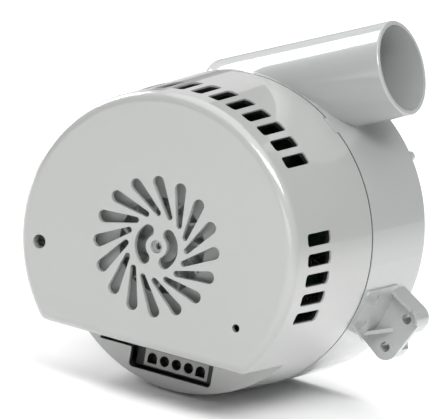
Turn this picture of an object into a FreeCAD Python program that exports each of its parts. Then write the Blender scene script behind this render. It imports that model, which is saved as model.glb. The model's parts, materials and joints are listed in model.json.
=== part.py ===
import FreeCAD, Part
import math
import os
import Sketcher
from types import SimpleNamespace

# Motor-driven centrifugal blower: a motor under a vented cover drives two impellers in a round fan
# housing, which blows out through a straight tangential tube.
# The shaft lies along Y. Stations are distances behind the motor cover's outer face, and the frame's
# origin is the centre of the air inlet in the fan housing's end face, at station total_length.

SIZES = {
    "total_length": 130.0,
    "seam_start": 72.4,
    "seam_end": 73.8,
    # motor cover
    "cover_front_radius": 71.2,
    "cover_back_radius": 73.6,
    "cover_wall": 2.6,
    "cover_round": 4.8,
    "cover_inner_round": 2.2,
    "flat_drop": 47.9,
    "flat_length": 37.9,
    "swirl_count": 16,
    "swirl_inner_x": 4.26,
    "swirl_inner_z": 15.09,
    "swirl_inner_round": 1.4,
    "swirl_outer_x": -4.22,
    "swirl_outer_z": 29.44,
    "swirl_outer_round": 2.9,
    "kidney_middle": 8.3,
    "kidney_half_width": 2.9,
    "kidney_half_angle": 50,
    "centre_recess_radius": 3.0,
    "centre_recess_depth": 2.2,
    "centre_bore_radius": 1.5,
    "centre_boss_radius": 5.0,
    "centre_boss_end": 4.2,
    "trim_x": -59.4,
    "trim_z": -12.3,
    "trim_hole_radius": 3.2,
    "trim_boss_radius": 4.6,
    "trim_boss_end": 8.0,
    "sight_x": 46.8,
    "sight_z": -26.8,
    "sight_radius": 1.9,
    "vent_start": 12.8,
    "vent_length": 21.4,
    "vent_width": 5.9,
    "vent_round": 1.8,
    "vent_pitch": 7.5,
    "window_middle": -1.2,
    "window_width": 43.2,
    "window_low": 66.7,
    "window_high": 51.2,
    "window_round": 2.0,
    "slit_start": -39.4,
    "slit_low": 57.5,
    "rim_tab_half_width": 4.5,
    "rim_tab_inset": 0.2,
    "rim_tab_start": 70.9,
    "rim_notch_start": 70.4,
    # fan housing
    "housing_radius": 73.6,
    "housing_wall": 2.6,
    "housing_end_wall": 3.0,
    "housing_round": 5.0,
    "inlet_radius": 22.0,
    "groove_inner": 27.0,
    "groove_outer": 30.0,
    "groove_depth": 1.2,
    "foot_radius": 2.4,
    "foot_circle": 70.6,
    "foot_height": 1.2,
    "tube_radius": 22.225,
    "tube_foot_radius": 22.45,
    "tube_straight": 26.0,
    "tube_bore_straight": 30.0,
    "tube_wall": 2.15,
    "tube_angle": 25.0,
    "tube_offset": 55.3,
    "tube_station": 96.5,
    "tube_reach": 93.2,
    "tube_back": 3.2,
    "tube_round": 5.0,
    "tube_lip_round": 0.9,
    "post_circle": 66.0,
    "post_radius": 5.4,
    "post_start": 76.0,
    "post_bore": 1.3,
    "post_bore_depth": 16.0,
    "ledge_radius": 67.0,
    "ledge_thickness": 2.0,
    # mounting ears
    "ear_front": 105.0,
    "ear_back": 115.5,
    "ear_web": 3.5,
    "ear_round": 6.3,
    "ear_hole_radius": 2.35,
    "ear_upper_x": 81.1,
    "ear_upper_z": -26.4,
    "ear_lower_x": 72.6,
    "ear_lower_z": -41.7,
    "ear_root_high": -10.7,
    "ear_root_low": -33.7,
    "ear_lip_front": 102.0,
    "ear_lip_arc_front": 103.6,
    "ear_lip_thickness": 1.6,
    "ear_lip_sweep": 75.0,
    "waist_radius": 6.5,
    "waist_offset": 3.4,
    "rib_tilt": 18.6,
    "rib_level": -54.2,
    "rib_root": 51.2,
    "rib_tip": 60.9,
    "rib_start": 98.0,
    "rib_sink": 1.4,
    "rib_thickness": 1.9,
    "pad_start": 76.5,
    "pad_radius": 74.5,
    "pad_high": -9.3,
    "pad_corner": -23.2,
    "pad_low": -35.0,
    "pad_middle": -22.0,
    "pad_round": 3.0,
    "dimple_radius": 2.5,
    "dimple_depth": 0.6,
    "dimple_station": 87.3,
    # motor plate and stator
    "plate_radius": 70.7,
    "plate_bore": 7.0,
    "plate_start": 71.0,
    "plate_thickness": 4.0,
    "plate_hub_radius": 17.0,
    "plate_hub_end": 93.0,
    "bolt_circle": 37.2,
    "bolt_post_radius": 3.2,
    "screw_slack": 0.05,
    "screw_head_radius": 3.0,
    "screw_head_height": 2.6,
    "bolt_radius": 1.7,
    "bolt_tap_depth": 11.0,
    "board_tap_depth": 9.5,
    "board_screw_length": 10.0,
    "plate_screw_length": 18.0,
    "board_post_circle": 57.0,
    "board_post_radius": 3.2,
    "small_screw_radius": 1.3,
    "bracket_start": 18.0,
    "bracket_lip_bore": 7.0,
    "bracket_web_start": 24.0,
    "bracket_end": 27.0,
    "bracket_radius": 41.0,
    "bracket_hub_radius": 14.0,
    "bracket_vent_circle": 25.5,
    "bracket_vent_radius": 6.5,
    "core_start": 33.0,
    "core_end": 57.0,
    "core_radius": 40.0,
    "core_yoke": 33.6,
    "stator_bore": 21.5,
    "tooth_count": 6,
    "tooth_half_width": 5.0,
    "shoe_outer": 24.6,
    "shoe_angle": 25.0,
    "coil_thickness": 4.0,
    "coil_inner": 25.2,
    "coil_depth": 7.0,
    "coil_round": 3.0,
    # shaft, rotor and bearings
    "shaft_start": 5.0,
    "shaft_end": 126.8,
    "shaft_radius": 4.0,
    "shaft_middle_radius": 5.0,
    "shaft_chamfer": 0.5,
    "front_bearing": 19.0,
    "rear_bearing": 84.0,
    "bearing_width": 7.0,
    "bearing_radius": 11.0,
    "inner_ring_radius": 5.95,
    "outer_ring_bore": 9.05,
    "ball_circle": 7.5,
    "ball_radius": 1.95,
    "ball_groove": 2.05,
    "ball_count": 7,
    "cage_inner": 7.0,
    "cage_outer": 8.0,
    "cage_width": 5.4,
    "shield_bore": 6.25,
    "shield_thickness": 0.4,
    "shield_inset": 0.15,
    "rotor_core_radius": 17.2,
    "magnet_radius": 20.5,
    "magnet_start": 31.0,
    "magnet_length": 28.0,
    "magnet_angle": 41.0,
    "cooling_start": 5.6,
    "cooling_end": 17.0,
    "cooling_radius": 34.0,
    "cooling_shroud_bore": 22.0,
    "cooling_hub_radius": 8.0,
    "cooling_blades": 11,
    "disc_thickness": 1.5,
    "blade_thickness": 1.4,
    # impellers and the guide between them
    "impeller_radius": 58.0,
    "impeller_hub_radius": 9.0,
    "impeller_eye": 22.5,
    "impeller_blades": 9,
    "late_start": 96.0,
    "late_end": 106.2,
    "late_hub_end": 105.0,
    "early_start": 118.0,
    "early_end": 126.2,
    "early_hub_start": 117.0,
    "early_hub_end": 120.5,
    "cup_start": 108.0,
    "cup_end": 127.0,
    "cup_radius": 70.6,
    "cup_thickness": 1.5,
    "cup_eye": 21.0,
    "guide_start": 109.5,
    "guide_end": 116.0,
    "guide_radius": 64.0,
    "guide_bore": 8.5,
    "guide_vanes": 12,
    "sleeve_outer": 6.5,
    "washer_radius": 8.0,
    "washer_end": 121.5,
    "nut_end": 126.0,
    "nut_circle": 7.5,
    # control board and what stands on it
    "board_start": 52.0,
    "board_thickness": 1.6,
    "board_radius": 68.0,
    "board_bore": 43.0,
    "header_front": 43.0,
    "header_width": 41.0,
    "header_low": 66.0,
    "header_high": 52.2,
    "insert_middle": -1.0,
    "insert_half_width": 16.7,
    "insert_low": 65.4,
    "insert_high": 57.6,
    "insert_depth": 8.0,
    "pin_pitch": 6.35,
    "pin_hole_radius": 2.5,
    "pin_level": 61.6,
    "pin_radius": 1.05,
    "pin_start": 48.0,
    "pot_radius": 6.0,
    "pot_start": 40.0,
    "spindle_start": 4.2,
    "spindle_radius": 2.6,
    "spindle_slot_width": 0.9,
    "spindle_slot_depth": 1.2,
    "pot_bore": 2.65,
    "spindle_end": 48.0,
    "capacitor_radius": 6.25,
    "capacitor_start": 28.0,
    "capacitor_circle": 55.0,
    "choke_radius": 9.0,
    "choke_wire_radius": 3.4,
    "choke_circle": 56.0,
    "transistor_inner": 56.2,
    "transistor_outer": 60.4,
    "transistor_half_width": 4.2,
    "transistor_start": 37.0,
    "transistor_pitch": 9.5,
    "sink_inner": 60.7,
    "sink_outer": 63.0,
    "sink_start": 34.0,
    "sink_first": 103.0,
    "sink_last": 160.0,
    # seals
    "gasket_outer": 72.4,
    "gasket_inner": 71.2,
    "gasket_gap": 0.05,
    "seal_inner": 60.5,
}


class Size:
    """A length or an angle: its value, and the expression that says the same to the document."""

    def __init__(self, value, text):
        self.value = value
        self.text = text

    def __add__(self, other):
        return combine(self, other, "+", self.value + size(other).value)

    def __radd__(self, other):
        return size(other) + self

    def __sub__(self, other):
        return combine(self, other, "-", self.value - size(other).value)

    def __rsub__(self, other):
        return size(other) - self

    def __mul__(self, other):
        return combine(self, other, "*", self.value * size(other).value)

    def __rmul__(self, other):
        return size(other) * self

    def __truediv__(self, other):
        return combine(self, other, "/", self.value / size(other).value)

    def __neg__(self):
        return Size(-self.value, f"(-1 * {self.text})")


def size(thing):
    return thing if isinstance(thing, Size) else Size(float(thing), repr(thing))


def combine(left, right, sign, value):
    return Size(value, f"({left.text} {sign} {size(right).text})")


def sine(angle):
    return Size(math.sin(math.radians(size(angle).value)), f"sin({size(angle).text})")


def cosine(angle):
    return Size(math.cos(math.radians(size(angle).value)), f"cos({size(angle).text})")


def polar(radius, angle):
    """A point at a radius and an angle, which is counted from X towards Z."""
    return size(radius) * cosine(angle), size(radius) * sine(angle)


doc = FreeCAD.newDocument("blower")
sheet = doc.addObject("Spreadsheet::Sheet", "Sizes")
for row, (alias, number) in enumerate(SIZES.items(), start=1):
    sheet.set(f"A{row}", alias)
    sheet.set(f"B{row}", str(number))
    sheet.setAlias(f"B{row}", alias)
doc.recompute()

s = SimpleNamespace(**{alias: Size(float(number), f"Sizes.{alias}") for alias, number in SIZES.items()})
kept = []

TAB_ANGLES = (55, 125, 222, -42)
DIMPLE_ANGLES = (-13.4, -24.1)
POST_ANGLES = (15, 135, 255)
BOARD_ANGLES = (25, 165, 215, 325)
ALONG_SHAFT = FreeCAD.Rotation(FreeCAD.Vector(1, 0, 0), -90)
SHAFT_AXIS = FreeCAD.Vector(0, 1, 0)


# ---- helpers: plain solids -------------------------------------------------------------------------

def bind(obj, **sizes):
    for name, amount in sizes.items():
        obj.setExpression(name, size(amount).text)


def put(obj, x, station, z):
    """Bind an object's place: x and z across the shaft, and the station along it."""
    obj.setExpression("Placement.Base.x", size(x).text)
    obj.setExpression("Placement.Base.y", (size(station) - s.total_length).text)
    obj.setExpression("Placement.Base.z", size(z).text)
    return obj


def rod(name, radius, start, end, x=0, z=0):
    """A cylinder along the shaft's direction between two stations."""
    obj = doc.addObject("Part::Cylinder", name)
    obj.Placement = FreeCAD.Placement(FreeCAD.Vector(), ALONG_SHAFT)
    bind(obj, Radius=radius, Height=size(end) - start)
    return put(obj, x, start, z)


def block(name, x0, x1, start, end, z0, z1):
    """A box between two x, two stations and two z."""
    obj = doc.addObject("Part::Box", name)
    bind(obj, Length=size(x1) - x0, Width=size(end) - start, Height=size(z1) - z0)
    return put(obj, x0, start, z0)


def radial_block(name, angle, inner, outer, half_width, start, end):
    """A box that points away from the shaft at an angle."""
    obj = doc.addObject("Part::Box", name)
    obj.Placement.Rotation = FreeCAD.Rotation(SHAFT_AXIS, -size(angle).value)
    bind(obj, Length=size(outer) - inner, Width=size(end) - start, Height=size(half_width) * 2)
    x, z = polar(inner, angle)
    return put(obj, x + half_width * sine(angle), start, z - half_width * cosine(angle))


def fuse(name, *parts):
    obj = doc.addObject("Part::MultiFuse", name)
    obj.Shapes = list(parts)
    return obj


def cut(name, base, *tools):
    obj = doc.addObject("Part::Cut", name)
    obj.Base = base
    obj.Tool = tools[0] if len(tools) == 1 else fuse(name + "_tools", *tools)
    return obj


def group(name, parts):
    obj = doc.addObject("Part::Compound", name)
    obj.Links = list(parts)
    return obj


def keep(obj, label):
    obj.Label = label
    kept.append(obj)
    return obj


def tube(name, outer, inner, start, end):
    return cut(name, rod(name + "_outer", outer, start, end), rod(name + "_inner", inner, start, end))


# ---- helpers: sketched bodies ----------------------------------------------------------------------

def new_body(name, placed=True):
    """A body in stations; one that is only subtracted from another isn't placed by itself."""
    body = doc.addObject("PartDesign::Body", name)
    body.AllowCompound = True
    if placed:
        body.setExpression("Placement.Base.y", (-s.total_length).text)
    return body


def origin_feature(body, role):
    return next(item for item in body.Origin.OriginFeatures if item.Role == role)


def sketch_on(body, name, role, offset=0, turn=None):
    """A sketch on an origin plane, turned about the shaft and moved along its own normal."""
    sketch = body.newObject("Sketcher::SketchObject", name)
    sketch.AttachmentSupport = [(origin_feature(body, role), "")]
    sketch.MapMode = "FlatFace"
    if turn is not None:
        sketch.AttachmentOffset = FreeCAD.Placement(FreeCAD.Vector(), FreeCAD.Rotation(SHAFT_AXIS, turn))
        sketch.setExpression("AttachmentOffset.Base.x", (size(offset) * sine(turn)).text)
        offset = size(offset) * cosine(turn)
    sketch.setExpression("AttachmentOffset.Base.z", size(offset).text)
    return sketch


def pin_point(sketch, geometry, position, x, y):
    for kind, amount in (("DistanceX", x), ("DistanceY", y)):
        number = sketch.addConstraint(Sketcher.Constraint(kind, geometry, position, size(amount).value))
        sketch.setExpression(f"Constraints[{number}]", size(amount).text)


def pin_radius(sketch, geometry, radius):
    number = sketch.addConstraint(Sketcher.Constraint("Radius", geometry, size(radius).value))
    sketch.setExpression(f"Constraints[{number}]", size(radius).text)


def arc_between(start, end, radius, bulge):
    """An arc; bulge is +1 where it turns left on its way from start to end, and -1 where right."""
    chord = end - start
    half = chord.Length / 2
    rise = math.sqrt(max(radius * radius - half * half, 0))
    side = FreeCAD.Vector(-chord.y, chord.x, 0).normalize()
    centre = (start + end) * 0.5 + side * rise * bulge
    first, last = (start, end) if bulge > 0 else (end, start)
    angles = [math.atan2(point.y - centre.y, point.x - centre.x) for point in (first, last)]
    circle = Part.Circle(centre, FreeCAD.Vector(0, 0, 1), radius)
    return Part.ArcOfCircle(circle, angles[0], angles[1])


def outline(sketch, path):
    """A closed outline. Each stop is (x, y), or (x, y, radius, bulge) for an arc that ends there."""
    first = sketch.GeometryCount
    points = [FreeCAD.Vector(size(stop[0]).value, size(stop[1]).value, 0) for stop in path]
    ends = []
    for i, stop in enumerate(path):
        start = points[i - 1]
        if len(stop) == 2:
            sketch.addGeometry(Part.LineSegment(start, points[i]))
            ends.append((1, 2))
        else:
            sketch.addGeometry(arc_between(start, points[i], size(stop[2]).value, stop[3]))
            ends.append((1, 2) if stop[3] > 0 else (2, 1))
    for i, stop in enumerate(path):
        following = (i + 1) % len(path)
        joint = (first + i, ends[i][1], first + following, ends[following][0])
        sketch.addConstraint(Sketcher.Constraint("Coincident", *joint))
        pin_point(sketch, first + i, ends[i][1], stop[0], stop[1])
        if len(stop) == 4:
            pin_radius(sketch, first + i, stop[2])
    return sketch


def ring(sketch, x, y, radius):
    centre = FreeCAD.Vector(size(x).value, size(y).value, 0)
    number = sketch.addGeometry(Part.Circle(centre, FreeCAD.Vector(0, 0, 1), size(radius).value))
    pin_point(sketch, number, 3, x, y)
    pin_radius(sketch, number, radius)
    return sketch


def box_path(x0, x1, y0, y1, radius):
    """The outline of a rectangle with round corners."""
    x0, x1, y0, y1 = size(x0), size(x1), size(y0), size(y1)
    return [
        (x1 - radius, y0), (x1, y0 + radius, radius, 1),
        (x1, y1 - radius), (x1 - radius, y1, radius, 1),
        (x0 + radius, y1), (x0, y1 - radius, radius, 1),
        (x0, y0 + radius), (x0 + radius, y0, radius, 1),
    ]


def revolve(body, name, path, cutting=False):
    """Turn a profile of (radius, station) stops about the shaft."""
    sketch = outline(sketch_on(body, name + "_profile", "XY_Plane"), path)
    feature = body.newObject("PartDesign::Groove" if cutting else "PartDesign::Revolution", name)
    feature.Profile = sketch
    feature.ReferenceAxis = (sketch, ["V_Axis"])
    feature.Angle = 360
    return feature


def extrude(body, name, sketch, depth, cutting=False, along_normal=False):
    """Pad or pocket a sketch against its normal, which across the shaft is towards the inlet."""
    feature = body.newObject("PartDesign::Pocket" if cutting else "PartDesign::Pad", name)
    feature.Profile = sketch
    feature.Reversed = cutting == along_normal
    bind(feature, Length=depth)
    return feature


def across(body, name, station):
    """A sketch across the shaft at a station, with x to the right and y up."""
    return sketch_on(body, name, "XZ_Plane", offset=-size(station))


def repeat(body, name, feature, count, angle=360):
    """Repeat a feature about the shaft, from X down towards -Z."""
    pattern = body.newObject("PartDesign::PolarPattern", name)
    pattern.Originals = [feature]
    pattern.Axis = (origin_feature(body, "Y_Axis"), [""])
    pattern.Angle = angle
    bind(pattern, Occurrences=count)
    body.Tip = pattern
    return pattern


def turned(label, path):
    """A whole sub-part turned from one profile."""
    body = new_body(label)
    revolve(body, label + "_turned", path)
    return keep(body, label)


# ---- motor cover -----------------------------------------------------------------------------------

def edge_names(shape, wanted):
    return [f"Edge{i}" for i, edge in enumerate(shape.Edges, start=1) if wanted(edge)]


def round_edges(body, name, base, radius, wanted):
    """Round the edges of a body's last feature for which wanted(edge) is true."""
    doc.recompute()
    feature = body.newObject("PartDesign::Fillet", name)
    feature.Base = (base, edge_names(base.Shape, wanted))
    bind(feature, Radius=radius)
    return feature


def cup_form(name, inset, round_radius, placed):
    """A slightly tapered cup whose lower side is cut flat in front of a crescent-shaped step."""
    body = new_body(name, placed)
    revolve(body, name + "_cup", [(0, inset), (s.cover_front_radius - inset, inset),
                                  (s.cover_back_radius - inset, s.seam_start + inset),
                                  (0, s.seam_start + inset)])
    low = s.cover_back_radius + 1
    top = -(s.flat_drop - inset)
    chord = outline(across(body, name + "_flat_sketch", 0),
                    [(-low, -low), (low, -low), (low, top), (-low, top)])
    flat = extrude(body, name + "_flat", chord, s.flat_length + inset, cutting=True)

    def outer_edges(edge):
        box = edge.BoundBox
        on_face = abs(box.YMin - size(inset).value) < 0.01 and box.YLength < 0.01
        corner = box.YLength > 10 and abs(box.ZMax - top.value) < 0.01
        return on_face or corner

    round_edges(body, name + "_round", flat, round_radius, outer_edges)
    return body


def subtract(body, name, tool):
    feature = body.newObject("PartDesign::Boolean", name)
    feature.setObjects([tool])
    feature.Type = "Cut"
    return feature


def vents(body, name, first_angle, count):
    """A row of vents round the side, starting at first_angle and going down from there."""
    sketch = sketch_on(body, name + "_sketch", "XY_Plane", turn=90 - first_angle)
    half = s.vent_width / 2
    outline(sketch, box_path(-half, half, s.vent_start, s.vent_start + s.vent_length, s.vent_round))
    feature = extrude(body, name + "_cut", sketch, s.cover_back_radius + 1, cutting=True, along_normal=True)
    repeat(body, name, feature, count, (count - 1) * s.vent_pitch.value)


def swirl_path():
    """A tapered slot: a small round end near the centre and a large one further out."""
    dx = s.swirl_outer_x.value - s.swirl_inner_x.value
    dz = s.swirl_outer_z.value - s.swirl_inner_z.value
    spread = math.asin((s.swirl_outer_round.value - s.swirl_inner_round.value) / math.hypot(dx, dz))
    heading = math.degrees(math.atan2(dz, dx))
    left = heading + 90 + math.degrees(spread)
    right = heading - 90 - math.degrees(spread)
    inner = (s.swirl_inner_x, s.swirl_inner_z, s.swirl_inner_round)
    outer = (s.swirl_outer_x, s.swirl_outer_z, s.swirl_outer_round)

    def touch(end, angle):
        x, z = polar(end[2], angle)
        return end[0] + x, end[1] + z

    tip = touch(outer, heading)
    heel = touch(inner, heading + 180)
    return [
        touch(outer, right), (*tip, outer[2], 1), (*touch(outer, left), outer[2], 1),
        touch(inner, left), (*heel, inner[2], 1), (*touch(inner, right), inner[2], 1),
    ]


def kidney_path(middle_angle):
    """A slot along an arc round the shaft, with round ends."""
    first = middle_angle - s.kidney_half_angle
    last = middle_angle + s.kidney_half_angle
    cap = s.kidney_half_width
    outer = s.kidney_middle + cap
    inner = s.kidney_middle - cap

    def tip(angle, heading):
        x, z = polar(s.kidney_middle, angle)
        dx, dz = polar(cap, heading)
        return x + dx, z + dz

    return [
        (*polar(outer, middle_angle), outer, 1), (*polar(outer, last), outer, 1),
        (*tip(last, last + 90), cap, 1), (*polar(inner, last), cap, 1),
        (*polar(inner, middle_angle), inner, -1), (*polar(inner, first), inner, -1),
        (*tip(first, first - 90), cap, 1), (*polar(outer, first), cap, 1),
    ]


def motor_cover():
    body = cup_form("motor_cover", size(0), s.cover_round, True)
    subtract(body, "hollow", cup_form("cover_hollow", s.cover_wall, s.cover_inner_round, False))
    boss = ring(across(body, "boss_sketch", s.cover_wall / 2), 0, 0, s.centre_boss_radius)
    extrude(body, "centre_boss", boss, s.centre_boss_end - s.cover_wall / 2)
    trim = ring(across(body, "trim_sketch", s.cover_wall / 2), s.trim_x, s.trim_z, s.trim_boss_radius)
    extrude(body, "trim_boss", trim, s.trim_boss_end - s.cover_wall / 2)
    for number, angle in enumerate(TAB_ANGLES):
        path = slab_path(angle, s.cover_back_radius - s.cover_wall - 1, s.cover_back_radius + 1,
                         s.rim_tab_half_width + s.rim_tab_inset)
        notch = outline(across(body, f"notch_sketch_{number}", s.rim_notch_start), path)
        extrude(body, f"notch_{number}", notch, s.seam_start + 1 - s.rim_notch_start, cutting=True)
    swirl = outline(across(body, "swirl_sketch", 0), swirl_path())
    slot = extrude(body, "swirl_cut", swirl, s.cover_wall * 2, cutting=True)
    repeat(body, "swirl_slots", slot, s.swirl_count)
    face = across(body, "face_sketch", 0)
    outline(face, kidney_path(0))
    outline(face, kidney_path(180))
    ring(face, 0, 0, s.centre_bore_radius)
    ring(face, s.trim_x, s.trim_z, s.trim_hole_radius)
    ring(face, s.sight_x, s.sight_z, s.sight_radius)
    extrude(body, "face_holes", face, s.trim_boss_end + 1, cutting=True)
    recess = ring(across(body, "recess_sketch", 0), 0, 0, s.centre_recess_radius)
    extrude(body, "centre_recess", recess, s.centre_recess_depth, cutting=True)
    window = across(body, "window_sketch", s.flat_length - 1)
    half = s.window_width / 2
    outline(window, box_path(s.window_middle - half, s.window_middle + half,
                             -s.window_low, -s.window_high, s.window_round))
    extrude(body, "window", window, s.cover_wall * 3, cutting=True)
    slit = across(body, "slit_sketch", s.flat_length - 1)
    outline(slit, [(s.slit_start, -s.slit_low), (s.window_middle, -s.slit_low),
                   (s.window_middle, -s.window_high), (s.slit_start, -s.window_high)])
    extrude(body, "slit", slit, s.cover_wall * 3, cutting=True)
    vents(body, "upper_vents", 135, 13)
    vents(body, "right_vents", 15, 5)
    vents(body, "left_vents", 195, 5)
    return keep(body, "motor_cover")


def slab_path(angle, inner, outer, half):
    """The outline of a bar that points away from the shaft at an angle."""
    x0, z0 = polar(inner, angle)
    x1, z1 = polar(outer, angle)
    dx, dz = half * sine(angle), half * cosine(angle)
    return [(x0 + dx, z0 - dz), (x1 + dx, z1 - dz), (x1 - dx, z1 + dz), (x0 - dx, z0 + dz)]


# ---- fan housing -----------------------------------------------------------------------------------

def tube_sketch(body, name, distance, radius):
    """A circle across the discharge tube, at a distance along it from its foot."""
    sketch = body.newObject("Sketcher::SketchObject", name)
    sketch.AttachmentSupport = [(origin_feature(body, "YZ_Plane"), "")]
    sketch.MapMode = "FlatFace"
    tilt = FreeCAD.Rotation(FreeCAD.Vector(1, 0, 0), -s.tube_angle.value)
    sketch.AttachmentOffset = FreeCAD.Placement(FreeCAD.Vector(), tilt)
    sketch.setExpression("AttachmentOffset.Base.y", (distance * sine(s.tube_angle)).text)
    sketch.setExpression("AttachmentOffset.Base.z", (distance * cosine(s.tube_angle)).text)
    return ring(sketch, s.tube_station, s.tube_offset, radius)


def tube_form(name, inset, reach, straight, rounds):
    """A round bar along the discharge tube, with draft up to a straight stretch at its mouth."""
    body = new_body(name, False)
    back = s.tube_back - inset
    foot, mouth = s.tube_foot_radius - inset, s.tube_radius - inset
    drafted = back + s.tube_reach - straight
    bar = extrude(body, name + "_draft", tube_sketch(body, name + "_foot", -back, foot), drafted,
                  along_normal=True)
    bar.TaperAngle = math.degrees(math.atan((mouth.value - foot.value) / drafted.value))
    start = s.tube_reach - straight
    bar = extrude(body, name + "_straight", tube_sketch(body, name + "_mouth", start, mouth),
                  reach - start, along_normal=True)
    for number, (pick, amount) in enumerate(rounds):
        doc.recompute()
        edges = [edge for edge in bar.Shape.Edges if edge.Curve.TypeId == "Part::GeomCircle"]
        chosen = pick(edges, key=lambda edge: edge.CenterOfMass.x)
        bar = round_edges(body, f"{name}_round_{number}", bar, amount, chosen.isSame)
    return body


def housing_hollow():
    """The space inside the drum and the tube."""
    body = tube_form("housing_hollow", s.tube_wall, s.tube_reach + 5, s.tube_bore_straight,
                     [(min, s.tube_round - s.tube_wall)])
    inner = s.housing_radius - s.housing_wall
    revolve(body, "drum_hollow", [(0, s.seam_start), (inner, s.seam_start),
                                  (inner, s.total_length - s.housing_end_wall),
                                  (0, s.total_length - s.housing_end_wall)])
    return body


def tangent_angle(point, centre, radius, side):
    """The angle round a circle at which a line from an outside point touches it."""
    dx, dz = point[0].value - centre[0].value, point[1].value - centre[1].value
    spread = math.degrees(math.acos(radius.value / math.hypot(dx, dz)))
    return math.degrees(math.atan2(dz, dx)) + side * spread


def mirrored(path, side):
    """A path as it is, or with x turned round for the left side."""
    if side > 0:
        return path
    return [(-stop[0], stop[1], *(stop[2:3]), *[-bulge for bulge in stop[3:]]) for stop in path]


def across_heading(body, name, angle, side, offset):
    """A sketch that faces away from the shaft at an angle; x runs round the shaft, y along it."""
    heading = angle if side > 0 else 180 - angle
    return sketch_on(body, name, "XY_Plane", turn=90 - heading, offset=offset)


def ear_pad(body, side, name):
    """A low pad under the ear; its edge slants from one corner towards the ear's lower root."""
    flat = s.pad_radius - s.housing_wall
    high, corner, low = (s.pad_radius * sine(s.pad_middle - angle)
                         for angle in (s.pad_high, s.pad_corner, s.pad_low))
    path = [(corner, s.pad_start), (low, s.ear_front + 1),
            (high, s.ear_front + 1), (high, s.pad_start + s.pad_round),
            (high + s.pad_round, s.pad_start, s.pad_round, 1)]
    sketch = across_heading(body, name + "_pad_sketch", s.pad_middle.value, side, flat)
    extrude(body, name + "_pad", outline(sketch, mirrored(path, side)), s.housing_wall * 2,
            along_normal=True)


def ear(body, side, name):
    """A hollow-backed mounting ear with two screw holes, a lip along its upper edge and a gusset."""
    upper = (s.ear_upper_x, s.ear_upper_z)
    lower = (s.ear_lower_x, s.ear_lower_z)
    root = s.housing_radius - 1
    top = polar(root, s.ear_root_high)
    bottom = polar(root, s.ear_root_low)
    along = math.degrees(math.atan2(lower[1].value - upper[1].value, lower[0].value - upper[0].value))
    first = tangent_angle(top, upper, s.ear_round, -1)
    last = tangent_angle(bottom, lower, s.ear_round, 1) + 360

    def touch(centre, angle, radius=s.ear_round):
        x, z = polar(radius, angle)
        return centre[0] + x, centre[1] + z

    def solid(feature_name, station, path, depth, cutting=False):
        sketch = outline(across(body, f"{name}_{feature_name}_sketch", station), mirrored(path, side))
        extrude(body, f"{name}_{feature_name}", sketch, depth, cutting)

    middle = (s.ear_root_high + s.ear_root_low) / 2
    solid("block", s.ear_front, [
        bottom, polar(root - 1, middle), top, touch(upper, first),
        (*touch(upper, along + 90), s.ear_round, -1), touch(lower, along + 90),
        (*touch(lower, last), s.ear_round, -1)], s.ear_back - s.ear_front)
    hollow = s.ear_round - s.ear_lip_thickness
    solid("hollow", s.ear_front + s.ear_web, [
        polar(s.housing_radius + 2, s.ear_root_high - 4), touch(upper, first - 180, hollow),
        touch(upper, along - 30, s.ear_round * 1.5), touch(lower, last - 180, hollow),
        polar(s.housing_radius + 2, s.ear_root_low + 3)], s.ear_back - s.ear_front, cutting=True)
    waist = across(body, name + "_waist_sketch", s.ear_front + s.ear_web)
    out_x, out_z = polar(s.ear_round + s.waist_offset, along + 90)
    ring(waist, side * ((upper[0] + lower[0]) / 2 + out_x), (upper[1] + lower[1]) / 2 + out_z,
         s.waist_radius)
    extrude(body, name + "_waist", waist, s.ear_back - s.ear_front, cutting=True)
    lip = s.ear_lip_thickness
    tip, inner_tip = touch(upper, first), touch(upper, first, s.ear_round - lip)
    inner_top = (top[0] + inner_tip[0] - tip[0], top[1] + inner_tip[1] - tip[1])
    solid("lip", s.ear_lip_front, [top, tip, inner_tip, inner_top], s.ear_front - s.ear_lip_front + 1)
    end = first - s.ear_lip_sweep.value
    solid("lip_arc", s.ear_lip_arc_front, [
        inner_tip, tip, (*touch(upper, end), s.ear_round, -1), touch(upper, end, s.ear_round - lip),
        (*inner_tip, s.ear_round - lip, 1)][1:], s.ear_front - s.ear_lip_arc_front + 1)
    rib = across_heading(body, name + "_rib_sketch", 90 + s.rib_tilt.value, side, s.rib_level)
    deep = s.rib_sink
    outline(rib, mirrored([(s.rib_root - deep, s.rib_start - deep), (s.rib_tip, s.ear_front),
                           (s.rib_tip, s.ear_front + 1), (s.rib_root - deep, s.ear_front + 1)], side))
    extrude(body, name + "_rib", rib, s.rib_thickness)
    holes = across(body, name + "_hole_sketch", s.ear_lip_front)
    for centre in (upper, lower):
        ring(holes, side * centre[0], centre[1], s.ear_hole_radius)
    extrude(body, name + "_holes", holes, s.ear_back - s.ear_lip_front + 1, cutting=True)
    for number, angle in enumerate(DIMPLE_ANGLES):
        dimple = across_heading(body, f"{name}_dimple_sketch_{number}", angle, side,
                                s.pad_radius - s.dimple_depth)
        ring(dimple, 0, s.dimple_station, s.dimple_radius)
        extrude(body, f"{name}_dimple_{number}", dimple, s.dimple_depth * 3, cutting=True,
                along_normal=True)


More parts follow.
